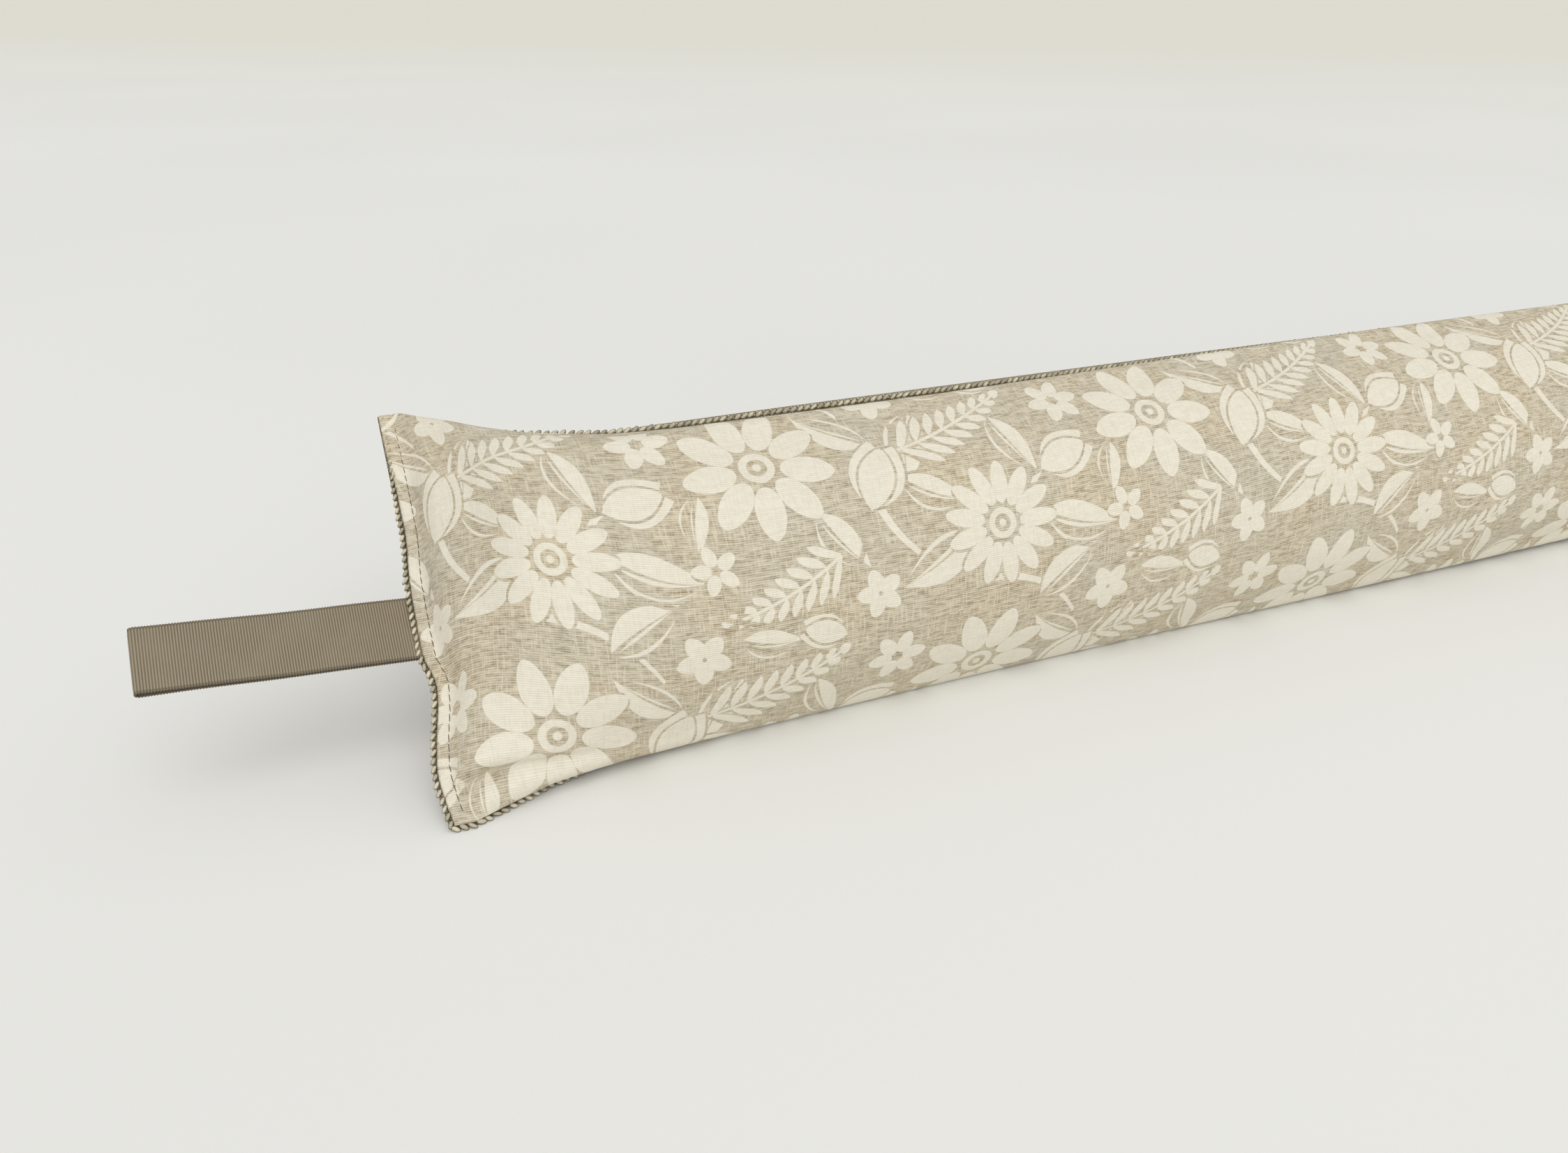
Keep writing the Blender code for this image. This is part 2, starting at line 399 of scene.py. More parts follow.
def grid_faces(rows, columns, offset=0, flip=False):
    i, j = np.meshgrid(np.arange(rows - 1), np.arange(columns - 1), indexing="ij")
    a = (i * columns + j).ravel() + offset
    quads = np.stack([a, a + columns, a + columns + 1, a + 1], 1)
    return quads[:, ::-1] if flip else quads


def write_uv(made, coordinates):
    """The UV map named cloth, in metres over the flat cloth."""
    layer = made.data.uv_layers.new(name="cloth")
    corner = np.empty(len(made.data.loops), np.int64)
    made.data.loops.foreach_get("vertex_index", corner)
    layer.data.foreach_set("uv", coordinates[corner].astype(np.float32).ravel())


def apply_modifier(made, name):
    bpy.ops.object.select_all(action="DESELECT")
    bpy.context.view_layer.objects.active = made
    made.select_set(True)
    bpy.ops.object.modifier_apply(modifier=name)


def turn_outwards(made, merge=1e-6):
    shell = bmesh.new()
    shell.from_mesh(made.data)
    bmesh.ops.remove_doubles(shell, verts=shell.verts, dist=merge)
    bmesh.ops.recalc_face_normals(shell, faces=shell.faces)
    shell.to_mesh(made.data)
    shell.free()


def flat_along(grid, xs):
    """Cloth coordinate along the tube of each point, measured over the cloth from mid-length."""
    steps = np.linalg.norm(np.diff(grid, axis=0), axis=2)
    along = np.concatenate([np.zeros((1, grid.shape[1])), np.cumsum(steps, axis=0)])
    middle = np.argmin(np.abs(xs - LENGTH / 2))
    return along - along[middle] + (xs[middle] - LENGTH / 2)


def rolled_edge(distance, radius=FOLD_RADIUS):
    """How far a cloth's surface turns under, this far from its fold."""
    t = np.clip(distance / radius, 0, 1)
    return radius * (1 - np.sqrt(1 - (1 - t) ** 2)) * 0.85


def stitch_dent(distance):
    """How deep the seam's thread draws the cloth in, this far from the end's edge."""
    return STITCH_DENT * np.exp(-(((distance - STITCH_LINE) / STITCH_DENT_WIDTH) ** 2))


FRONT_XS = spaced(
    (END_MARGIN, 0.0036, 0.0006), (0.0036, 0.0076, 0.0004), (0.0076, 0.020, 0.0012),
    (0.020, 0.110, 0.0022), (0.110, LENGTH - 0.110, 0.0034), (LENGTH - 0.110, LENGTH - 0.020, 0.0022),
    (LENGTH - 0.020, LENGTH - 0.0076, 0.0012), (LENGTH - 0.0076, LENGTH - 0.0036, 0.0004),
    (LENGTH - 0.0036, LENGTH - END_MARGIN, 0.0006),
)
FRONT_PLACES = spaced(
    (FRONT_MARGIN, 0.0035, 0.0004), (0.0035, 0.012, 0.0014), (0.012, 0.138, 0.0025),
    (0.138, PANEL_WIDTH - 0.0035, 0.0012),
    (PANEL_WIDTH - 0.0035, PANEL_WIDTH - FRONT_MARGIN, 0.0004),
)
BACK_XS = spaced(
    (0.0, 0.0036, 0.0006), (0.0036, 0.0076, 0.0005), (0.0076, 0.020, 0.0016), (0.020, 0.110, 0.0028),
    (0.110, LENGTH - 0.110, 0.0045), (LENGTH - 0.110, LENGTH - 0.020, 0.0028),
    (LENGTH - 0.020, LENGTH - 0.0076, 0.0016), (LENGTH - 0.0076, LENGTH - 0.0036, 0.0005),
    (LENGTH - 0.0036, LENGTH, 0.0006),
)
BACK_HALF = spaced((0.0, 0.0028, 0.0004), (0.0028, 0.012, 0.0015), (0.012, PANEL_WIDTH / 2, 0.003))
BACK_PLACES = np.concatenate([BACK_HALF, PANEL_WIDTH - BACK_HALF[-2::-1]])


def lap_corner(grid, xs, places, inset):
    """Moves the front's edges out over the rim, round the ribbon end's top corner."""
    for i in np.flatnonzero(xs < 2 * LAP_SPAN[0]):
        for j in np.flatnonzero(places < 2 * LAP_SPAN[1]):
            cover = float(lap(xs[i], places[j]))
            near_end = cover * np.clip(1 - (xs[i] - END_MARGIN) / LAP_RUN, 0, 1)
            near_top = cover * np.clip(1 - (places[j] - FRONT_MARGIN) / LAP_RUN, 0, 1)
            if max(near_end, near_top) < 0.01:
                continue
            x = xs[i] - near_end * (END_MARGIN - LAP_FROM_END)
            place = places[j] - near_top * (FRONT_MARGIN - LAP_FROM_SEAM)
            under = inset[i, j] - max(near_end, near_top) * LAP_LIFT
            grid[i, j] += cloth_line(x, np.array([place]), 1, under)[0]
            grid[i, j] -= cloth_line(xs[i], places[j : j + 1], 1, inset[i, j])[0]


def make_front_cloth():
    """The printed front: one sheet, its edges turned under along both seams and at both ends."""
    xs, places = FRONT_XS, FRONT_PLACES
    from_end = np.minimum(xs, LENGTH - xs)
    edge = np.minimum(places, PANEL_WIDTH - places) - FRONT_MARGIN
    inset = np.maximum(rolled_edge(edge)[None, :], rolled_edge(from_end - END_MARGIN)[:, None])
    inset = inset + stitch_dent(from_end)[:, None]
    grid = cloth_grid(xs, places, 1, inset)
    lap_corner(grid, xs, places, inset)
    faces = grid_faces(len(xs), len(places), flip=True)
    made = mesh_object("front_cloth", grid.reshape(-1, 3), faces)
    across = np.broadcast_to(places, (len(xs), len(places)))
    write_uv(made, np.stack([flat_along(grid, xs), across], 2).reshape(-1, 2))
    wall = made.modifiers.new("thickness", "SOLIDIFY")
    wall.thickness, wall.offset = FRONT_THICK, -1
    apply_modifier(made, "thickness")
    return made


def make_back_cover():
    """The coarse back cloth round the filling, closed under the front."""
    xs, places = BACK_XS, BACK_PLACES
    edge = np.minimum(places, PANEL_WIDTH - places)
    from_end = np.minimum(xs, LENGTH - xs)
    past_rim = np.clip((edge - RIM + HEM_GAP) / HEM_FADE, 0, 1)[None, :]
    past_end = np.clip(from_end / HEM_RADIUS, 0, 1)[:, None]
    recess = np.minimum(past_rim, past_end) * (FRONT_THICK + HEM_GAP)
    front = cloth_grid(xs, places, 1, recess + stitch_dent(from_end)[:, None])
    back_inset = stitch_dent(from_end) + 0.9 * rolled_edge(from_end, HEM_RADIUS)
    back = cloth_grid(xs, places, -1, back_inset[:, None])
    rows, columns = len(xs), len(places)
    faces = [grid_faces(rows, columns), grid_faces(rows, columns, rows * columns, flip=True)]
    for row in (0, rows - 1):
        a = row * columns + np.arange(columns - 1)
        b = a + rows * columns
        faces.append(np.stack([a, a + 1, b + 1, b], 1))
    points = np.concatenate([front.reshape(-1, 3), back.reshape(-1, 3)])
    made = mesh_object("back_cover", points, np.concatenate(faces))
    across = np.broadcast_to(places, (rows, columns))
    uv = [np.stack([flat_along(g, xs), a], 2).reshape(-1, 2) for g, a in ((front, across), (back, -across))]
    write_uv(made, np.concatenate(uv))
    turn_outwards(made)
    return made


# ---------------------------------------------------------------- seam, stitches


def cloth_point(x, place, side, inset=0.0):
    point = cloth_grid(np.array([x]), np.array([place]), side, inset)[0, 0]
    return Vector(point)


def surface_frame(x, place, side, heading, inset=0.0):
    """A point of a cloth and its axes there: along the heading (x or place), across it, and outwards."""
    step = 0.0006
    here = cloth_point(x, place, side, inset)
    towards_x = cloth_point(min(x + step, LENGTH), place, side, inset) - cloth_point(
        max(x - step, 0), place, side, inset
    )
    towards_place = cloth_point(x, min(place + step, PANEL_WIDTH), side, inset) - cloth_point(
        x, max(place - step, 0), side, inset
    )
    normal = towards_place.cross(towards_x).normalized() * side
    along = (towards_x if heading == "x" else towards_place).normalized()
    return here, along, normal.cross(along).normalized(), normal


def unit_bead():
    """Points and faces of a small ball, which every knot and stitch stretches."""
    ball = bmesh.new()
    bmesh.ops.create_uvsphere(ball, u_segments=8, v_segments=4, radius=0.5)
    bmesh.ops.triangulate(ball, faces=ball.faces)
    points = np.array([v.co for v in ball.verts])
    faces = np.array([[v.index for v in f.verts] for f in ball.faces])
    ball.free()
    return points, faces


def make_beads(name, places):
    """One mesh of stretched balls, each from (centre, along, across, out, (length, width, height), tint).

    The point attribute made here is the ball's own tone in its middle and falls to 0 at its rim, seen from
    outwards: painted shade towards each ball's rim.
    """
    points, faces = unit_bead()
    all_points, all_faces, tones_and_rim_shades = [], [], []
    for n, (centre, along, across, out, size, tone_and_rim_shade) in enumerate(places):
        axes = np.array([along, across, out])
        all_points.append(np.array(centre) + (points * np.array(size)) @ axes)
        all_faces.append(faces + n * len(points))
        # Painted shade: each ball's tone falls towards its rim, where the knots and stitches meet.
        rim = 2 * np.hypot(points[:, 0] * 0.9, points[:, 1])
        tones_and_rim_shades.append(tone_and_rim_shade * (1 - np.clip((rim - 0.55) / 0.45, 0, 1) ** 1.5))
    made = mesh_object(name, np.concatenate(all_points), np.concatenate(all_faces))
    shade = made.data.attributes.new("tone_and_rim_shade", "FLOAT", "POINT")
    shade.data.foreach_set("value", np.concatenate(tones_and_rim_shades).astype(np.float32))
    turn_outwards(made, merge=1e-8)
    return made


def seam_route():
    """Places (x, place, heading) of the knots all round the front, pitch after pitch."""
    for place in (KNOTS_INSIDE, PANEL_WIDTH - KNOTS_INSIDE):
        for x in np.arange(KNOT_PITCH / 2, LENGTH, KNOT_PITCH):
            yield x, place, "x"
    for x in (KNOTS_INSIDE, LENGTH - KNOTS_INSIDE):
        for place in np.arange(KNOT_PITCH, PANEL_WIDTH - KNOT_PITCH / 2, KNOT_PITCH):
            yield x, place, "place"


def make_seam_knots():
    """The back cloth's coarse threads, which stand in a row of slanted knots along its folded edge."""
    chance = np.random.default_rng(11)
    places = []
    for x, place, heading in seam_route():
        x = float(np.clip(x + chance.normal(0, 0.00012), 0.0003, LENGTH - 0.0003))
        here, along, _, out = surface_frame(x, place, 1, heading)
        if heading == "x":
            aside = (cloth_point(x, 0.0, 1) - cloth_point(x, PANEL_WIDTH, 1)).normalized()
            aside = aside if place < PANEL_WIDTH / 2 else -aside
            out = along.cross(aside).normalized()
            out = out if out.y < 0 else -out
        else:
            aside = Vector((-1 if x < LENGTH / 2 else 1, 0, 0))
            aside = (aside - out * aside.dot(out)).normalized()
        hidden = float(lap(x, place))
        rise = KNOT_RISE[heading] - LAP_SINK * hidden
        slant = math.radians(chance.normal(KNOT_SLANT, 5))
        turned = (along * math.cos(slant) + aside * math.sin(slant)).normalized()
        size = np.array(KNOT_SIZE[heading]) * (1 - LAP_SHRINK * hidden) * chance.normal(1, 0.06, 3)
        centre = here + aside * (rise + chance.normal(0, 0.00008))
        centre.z = max(centre.z, size[2] / 2)
        places.append((centre, turned, out.cross(turned), out, size, chance.uniform(0.45, 1)))
    return make_beads("seam_knots", places)


def make_stitches():
    """The thread of the row that closes each end, seen on both cloths."""
    chance = np.random.default_rng(5)
    sunk = float(stitch_dent(STITCH_LINE))
    places = []
    for side in (1, -1):
        for x in (STITCH_LINE, LENGTH - STITCH_LINE):
            for place in np.arange(0.0052, PANEL_WIDTH - 0.0048, STITCH_PITCH):
                here, along, across, out = surface_frame(x, place, side, "place", sunk)
                turn = math.radians(chance.normal(4, 2))
                turned = along * math.cos(turn) + across * math.sin(turn)
                centre = here + out * STITCH_RISE
                places.append((centre, turned, out.cross(turned), out, STITCH_SIZE, chance.uniform(0.3, 1)))
    return make_beads("end_stitches", places)


# ---------------------------------------------------------------- ribbon


def ribbon_axes():
    """Root, forward, facing and width directions of the loop."""
    lean, rise = math.radians(RIBBON_LEAN), math.radians(RIBBON_RISE)
    width = Vector((0, math.sin(lean), math.cos(lean)))
    forward = Vector((-math.cos(rise), 0, math.sin(rise)))
    facing = forward.cross(width).normalized()
    edge_lean = math.radians(end_value("lean", 0.0))
    y = FOOT_SHIFT + end_value("centre_y", 0.0) - RIBBON_BELOW_MIDDLE * math.sin(edge_lean)
    z = end_value("centre_z", 0.0) - RIBBON_BELOW_MIDDLE * math.cos(edge_lean)
    return Vector((-LENGTH / 2, y, z)), forward, facing, width


def ribbon_path(step):
    """Points (along, aside) and lengths of the loop's middle line, evenly spaced round its fold."""
    radius = RIBBON_HALF_GAP_FOLD
    straight = RIBBON_REACH - radius - RIBBON_THICK / 2
    runs = np.linspace(0.0, 1.0, 200)
    opening = RIBBON_HALF_GAP_SEAM + (radius - RIBBON_HALF_GAP_SEAM) * runs**2
    layer = np.stack([-RIBBON_TUCK + (straight + RIBBON_TUCK) * runs, opening], 1)
    turns = np.linspace(0.0, math.pi, 60)[1:-1]
    fold = np.stack([straight + radius * np.sin(turns), radius * np.cos(turns)], 1)
    rough = np.concatenate([layer, fold, layer[::-1] * (1, -1)])
    lengths = lengths_along(rough[:, 0], rough[:, 1])
    at = np.arange(0.0, lengths[-1], step)
    return np.stack([np.interp(at, lengths, rough[:, k]) for k in (0, 1)], 1), at


def make_ribbon():
    """The ribbed ribbon, folded once, with both its ends sewn into the tube's end."""
    root, forward, facing, width = ribbon_axes()
    path, at = ribbon_path(RIB_PITCH / 6)
    tangent = np.gradient(path, axis=0)
    tangent /= np.linalg.norm(tangent, axis=1, keepdims=True)
    normal = np.stack([-tangent[:, 1], tangent[:, 0]], 1)
    ribs = 0.5 + 0.5 * np.cos(2 * math.pi * at / RIB_PITCH)
    ribs = 1 - (1 - ribs) ** 1.6
    lift = RIBBON_THICK / 2 - RIB_HEIGHT + RIB_HEIGHT * ribs
    half = RIBBON_WIDTH / 2
    # Across the ribbon: a thin flat selvedge, then the ribs.
    across = np.array([0, 0.0003, 0.0008, 0.0014, 0.0020, 0.005, 0.009, half]) - half
    across = np.concatenate([across, -across[-2::-1]])
    from_edge = half - np.abs(across)
    thick = np.clip(from_edge / 0.0006, 0.35, 1) ** 0.5
    thick *= 1 - 0.35 * np.exp(-(((from_edge - 0.0013) / 0.0004) ** 2))
    scallop = SCALLOP * np.cos(2 * math.pi * at / RIB_PITCH)
    bow = 0.00035 * np.sin(at * 55) + 0.00018 * np.sin(at * 131 + 1)
    top, under = [], []
    for i, (along, aside) in enumerate(path):
        for line, sign in ((top, 1), (under, -1)):
            w = across * (1 + scallop[i] / half)
            a = along + sign * normal[i, 0] * lift[i] * thick
            b = aside + bow[i] * np.clip(along / 0.03, 0, 1) + sign * normal[i, 1] * lift[i] * thick
            line.append(
                np.array(root)
                + a[:, None] * np.array(forward)
                + b[:, None] * np.array(facing)
                + w[:, None] * np.array(width)
            )
    rows, columns = len(path), len(across)
    top, under = np.array(top), np.array(under)
    points = np.concatenate([top.reshape(-1, 3), under.reshape(-1, 3)])
    far = rows * columns
    faces = [grid_faces(rows, columns), grid_faces(rows, columns, far, flip=True)]
    for k in (0, columns - 1):
        a = np.arange(rows - 1) * columns + k
        faces.append(np.stack([a, a + columns, a + columns + far, a + far], 1))
    for row in (0, rows - 1):
        a = row * columns + np.arange(columns - 1)
        faces.append(np.stack([a, a + 1, a + 1 + far, a + far], 1))
    made = mesh_object("ribbon", points, np.concatenate(faces))
    uv = np.stack(np.meshgrid(at, across, indexing="ij"), 2).reshape(-1, 2)
    write_uv(made, np.concatenate([uv, uv]))
    turn_outwards(made)
    return made


# ---------------------------------------------------------------- materials


class Wire:
    """A number in a material's nodes. Operators on it add Math nodes."""

    def __init__(self, finish, socket):
        self.finish = finish
        self.socket = socket

    def maths(self, operation, *values):
        return self.finish.maths_of(operation, *values)

    def __add__(self, other):
        return self.maths("ADD", self, other)

    __radd__ = __add__

    def __sub__(self, other):
        return self.maths("SUBTRACT", self, other)

    def __rsub__(self, other):
        return self.maths("SUBTRACT", other, self)

    def __mul__(self, other):
        return self.maths("MULTIPLY", self, other)

    __rmul__ = __mul__

    def __truediv__(self, other):
        return self.maths("DIVIDE", self, other)

    def __pow__(self, other):
        return self.maths("POWER", self, other)

    def __abs__(self):
        return self.maths("ABSOLUTE", self)

    def least(self, other):
        return self.maths("MINIMUM", self, other)

    def most(self, other):
        return self.maths("MAXIMUM", self, other)

    def angle(self, other):
        """Angle of the point whose height is this and whose run is the other."""
        return self.maths("ARCTAN2", self, other)

    def wrap(self, half):
        """This number brought into -half to half by whole turns."""
        return self.maths("WRAP", self, half, -half)

    def step(self, low, high):
        """A soft step from 0 at the low value to 1 at the high one."""
        settings = {"interpolation_type": "SMOOTHSTEP"}
        sockets = {"Value": self, "From Min": low, "From Max": high}
        return self.finish.node("MapRange", settings, sockets)


class Finish:
    """A material under construction: its nodes are added by node(), and shader is its Principled BSDF."""

    def __init__(self, name, **uniform):
        self.material = bpy.data.materials.new(name)
        self.material.use_nodes = True
        self.tree = self.material.node_tree
        self.shader = self.tree.nodes["Principled BSDF"]
        for socket, value in uniform.items():
            self.shader.inputs[socket.replace("_", " ")].default_value = value

    def node(self, kind, settings=None, sockets=None, output=0):
        made = self.tree.nodes.new("ShaderNode" + kind)
        for key, value in (settings or {}).items():
            setattr(made, key, value)
        for key, value in (sockets or {}).items():
            self.feed(made.inputs[key], value)
        return Wire(self, made.outputs[output])

    def feed(self, socket, value):
        if isinstance(value, Wire):
            self.tree.links.new(value.socket, socket)
        else:
            socket.default_value = value

    def set(self, **sockets):
        for key, value in sockets.items():
            self.feed(self.shader.inputs[key.replace("_", " ")], value)

    def maths_of(self, operation, *values):
        return self.node("Math", {"operation": operation}, dict(enumerate(values)))

    def vector(self, operation, *values, output=0):
        return self.node("VectorMath", {"operation": operation}, dict(enumerate(values)), output)

    def dot(self, vector, direction):
        return self.vector("DOT_PRODUCT", vector, direction, output="Value")

    def mix(self, share, first, second):
        """A colour between two colours."""
        made = {"data_type": "RGBA"}
        return self.node("Mix", made, {0: share, 6: first, 7: second}, 2)

    def noise(self, vector, scale, detail=2.0, roughness=0.5):
        sockets = {"Vector": vector, "Scale": scale, "Detail": detail, "Roughness": roughness}
        return self.node("TexNoise", {}, sockets, "Fac")

    def bump(self, height, distance, strength=1.0):
        sockets = {"Height": height, "Distance": distance, "Strength": strength}
        return self.node("Bump", {}, sockets)

    def cloth_place(self, scale=(1000, 1000, 1000)):
        """The flat cloth's coordinates in millimetres, from the piece's own map."""
        flat = self.node("UVMap", {"uv_map": "cloth"})
        return self.vector("MULTIPLY", flat, scale)


def colour(red, green, blue):
    """Linear colour of an sRGB one that is given from 0 to 255."""
    linear = [((c / 255 + 0.055) / 1.055) ** 2.4 for c in (red, green, blue)]
    return (*linear, 1.0)


# ---------------------------------------------------------------- printed front

# A half-drop repeat: the same group of motifs every REPEAT_ALONG, and again half a repeat further and down.
REPEAT_ALONG = 176.0
REPEAT_ACROSS = 200.0
EDGE_SOFT = 0.5
OUTLINE = 1.1
FAR_OUTSIDE = 9.0


def only_within(depth, swell):
    """The depth inside an outline, made far outside where the swell is not above nothing."""
    return depth - swell.step(0.012, 0.0) * FAR_OUTSIDE


def leaf(u, v, length, width, bend=0.0, slit=0.0):
    """A pointed leaf along u, with a bare midrib and, if slit, a bare sliver in one half."""
    t = u / length + 0.5
    swell = (t * (1 - t)).most(0)
    side = v - swell * (4 * bend)
    half = swell * (1.3 - t * 0.6) * (2 * width)
    bare = (abs(side) + t * 0.95).step(0.62, 1.15)
    if slit:
        bare = bare * (abs(side - half * 0.50) - swell * slit).step(0.0, 0.5)
    return only_within(half - abs(side), swell), bare


def flower(u, v, petals, inner, outer, width, eye, plump=0.6):
    """A ring of petals round a ring and a dot."""
    radius = (u * u + v * v) ** 0.5
    across = (v.angle(u) * (petals / math.tau)).wrap(0.5) * (math.tau / petals) * radius
    t = (radius - inner) / (outer - inner)
    swell = (t * (1 - t)).most(0)
    depth = only_within(swell**plump * (width / 2 / 0.25**plump) - abs(across), swell)
    if eye:
        depth = depth.most(eye * 0.32 - abs(radius - eye)).most(eye * 0.36 - radius)
    return depth, 1.0


def bud(u, v, length, width):
    """A half-open bud: two outer petals that part at the tip, with a narrow one between them."""
    w = abs(v)
    lean = math.radians(17)
    outer_u = u * math.cos(lean) + w * math.sin(lean)
    outer_v = w * math.cos(lean) - u * math.sin(lean)
    t = outer_u / length + 0.5
    swell = (t * (1 - t)).most(0)
    outer = only_within(swell * (2 * width) - abs(outer_v - swell * (0.5 * width)), swell)
    m = u / (length * 0.84) + 0.52
    middle = (m * (1 - m)).most(0) * (1.5 * width) - w
    return outer.most(middle), abs(middle + 0.9).step(0.35, 0.8)


def fern(u, v, length, reach, pitch, bend=0.0):
    """A frond: slanted leaflets in pairs along a thin stem."""
    t = u / length + 0.5
    swell = (t * (1 - t)).most(0)
    side = abs(v - swell * (4 * bend))
    share = side / (((1 - t).most(0) ** 0.6) * (t * 7).least(1).most(0) * reach + 0.01)
    slanted = (u - side * 0.85).wrap(pitch / 2)
    leaflet = (share * (1.02 - share)).most(-1) * (pitch * 1.6) - abs(slanted)
    return only_within(leaflet.most(0.95 - side), swell), 1.0


def stalk(u, v, length, bend, thick):
    """A bent stalk that thins towards its tip."""
    t = u / length + 0.5
    swell = t * (1 - t)
    side = abs(v - swell * (4 * bend))
    return only_within(thick * (0.65 - t * 0.3) - side, swell), 1.0


# Middle of each motif in the repeat, the way it points in degrees, and its own sizes in millimetres.
MOTIFS = (
    (stalk, 80.0, 68.0, 58.0, (46.0, 6.0, 3.4)),
    (stalk, 142.0, 63.0, 124.0, (28.0, 4.0, 3.0)),
    (stalk, 46.0, 8.0, 28.0, (50.0, -7.0, 3.0)),
    (leaf, 91.0, 38.0, 110.0, (38.0, 16.5, 2.0, 8.0)),
    (leaf, 62.0, 26.0, 215.0, (32.0, 15.0, -1.5, 8.0)),
    (leaf, 95.0, 58.0, 24.0, (30.0, 14.0, 2.0, 7.0)),
    (leaf, 91.0, 85.0, 150.0, (37.0, 17.0, -2.0, 8.0)),
    (leaf, 158.0, 78.0, 14.0, (37.0, 17.0, 2.5, 8.0)),
    (leaf, 151.0, 99.0, -36.0, (34.0, 15.5, -1.5, 8.0)),
    (leaf, 54.0, 73.0, 52.0, (30.0, 14.5, 1.5, 8.0)),
    (leaf, 135.0, 43.0, 66.0, (32.0, 14.0, 1.5, 7.0)),
    (leaf, 176.0, 61.0, 100.0, (24.0, 11.0, 1.5, 6.0)),
    (leaf, 110.0, 7.0, 8.0, (26.0, 12.5, 1.5, 7.0)),
    (fern, 113.0, 27.0, -24.0, (64.0, 15.0, 7.0, 3.0)),
    (fern, 27.0, 88.0, 158.0, (54.0, 13.0, 6.4, -3.0)),
    (bud, 73.0, 50.0, -66.0, (34.0, 18.0)),
    (bud, 155.0, 52.0, -20.0, (30.0, 16.0)),
    (bud, 131.0, 7.0, 196.0, (22.0, 12.0)),
    (flower, 28.0, 40.0, 10.0, (9, 8.6, 30.0, 12.2, 5.4)),
    (flower, 121.0, 75.0, 0.0, (13, 7.6, 25.0, 7.6, 4.8, 0.5)),
    (flower, 83.0, 11.0, 20.0, (5, 0.8, 11.0, 8.4, 0.0)),
    (flower, 163.0, 25.0, 50.0, (6, 2.2, 12.5, 7.4, 0.0)),
    (flower, 66.0, 95.0, 35.0, (5, 0.8, 10.0, 7.6, 0.0)),
    (flower, 3.0, 78.0, 35.0, (5, 1.6, 9.5, 6.0, 0.0)),
)


def printed_motifs(local):
    """Where the cloth is printed light. local gives a motif's own u and v from its middle and direction.

    Each motif lies over those before it, with a bare outline between them.
    """
    light = None
    for shape, x, y, degrees, sizes in MOTIFS:
        depth, bare = shape(*local(x, y, degrees), *sizes)
        mask = depth.step(0.02, EDGE_SOFT) * bare
        light = mask if light is None else (light * depth.step(-0.8, -OUTLINE - 0.2)).most(mask)
    return light


# Height of one row of the cotton's weave, in millimetres.
WEAVE_ROW = 0.83


def printed_cotton():
    """Slubby cotton with a woven look: brown dashes between cream threads, and the motifs left light."""
    finish = Finish("printed_cotton", Roughness=0.92, Specular_IOR_Level=0.15)
    place = finish.cloth_place()
    along, across = finish.dot(place, (1, 0, 0)), finish.dot(place, (0, 1, 0))
    lattice = finish.node(
        "CombineXYZ",
        {},
        {
            0: along / REPEAT_ALONG + across / REPEAT_ACROSS,
            1: along / REPEAT_ALONG - across / REPEAT_ACROSS,
        },
    )

    def local(x, y, degrees):
        middle = (x / REPEAT_ALONG + y / REPEAT_ACROSS, x / REPEAT_ALONG - y / REPEAT_ACROSS, 0)
        offset = finish.vector("SUBTRACT", lattice, middle)
        offset = finish.vector("WRAP", offset, (0.5, 0.5, 0.5), (-0.5, -0.5, -0.5))
        cosine, sine = math.cos(math.radians(degrees)), math.sin(math.radians(degrees))
        half_along, half_across = REPEAT_ALONG / 2, REPEAT_ACROSS / 2
        ahead = (half_along * cosine + half_across * sine, half_along * cosine - half_across * sine, 0)
        aside = (half_across * cosine - half_along * sine, -half_across * cosine - half_along * sine, 0)
        return finish.dot(offset, ahead), finish.dot(offset, aside)

    light = printed_motifs(local)

    row = finish.maths_of("FLOOR", across / WEAVE_ROW)
    dash_place = finish.node("CombineXYZ", {}, {0: along / 6.0, 1: row * 1.37, 2: row * 0.61})
    dash = finish.noise(dash_place, 1.0, 3.0, 0.65).step(0.34, 0.64)
    ribs = finish.maths_of("COSINE", across * (math.tau / WEAVE_ROW)) * 0.5 + 0.5

    def streaks(per_along, per_across, low, high):
        """Irregular streaks, this many to a millimetre along and across the cloth."""
        stretched = finish.vector("MULTIPLY", place, (per_along, per_across, 1))
        return finish.noise(stretched, 1.0, 2.0, 0.6).step(low, high)

    slubs = streaks(1.5, 0.10, 0.50, 0.66)
    clumps = streaks(0.20, 0.95, 0.40, 0.62)
    cloud = finish.noise(place, 0.022, 3.0, 0.55).step(0.35, 0.68)

    dark = (ribs * 0.55 + 0.45) * (dash * 0.5 + 0.5) * (clumps * 0.45 + 0.6) * (1 - slubs * 0.55)
    brown = finish.mix(cloud, colour(139, 122, 92), colour(148, 136, 112))
    pale = finish.mix(cloud, colour(229, 219, 196), colour(224, 217, 199))
    ground = finish.mix(dark, pale, brown)
    faint = ribs * (dash * 0.5 + 0.2) + slubs * 0.25
    paper = finish.mix(faint, colour(235, 230, 215), colour(215, 207, 188))
    height = ribs * (dash * 0.3 + 0.6) + slubs * 0.35 + clumps * 0.2
    finish.set(Base_Color=finish.mix(light, ground, paper), Normal=finish.bump(height, 0.00011))
    return finish


# ---------------------------------------------------------------- finishes of the plain pieces


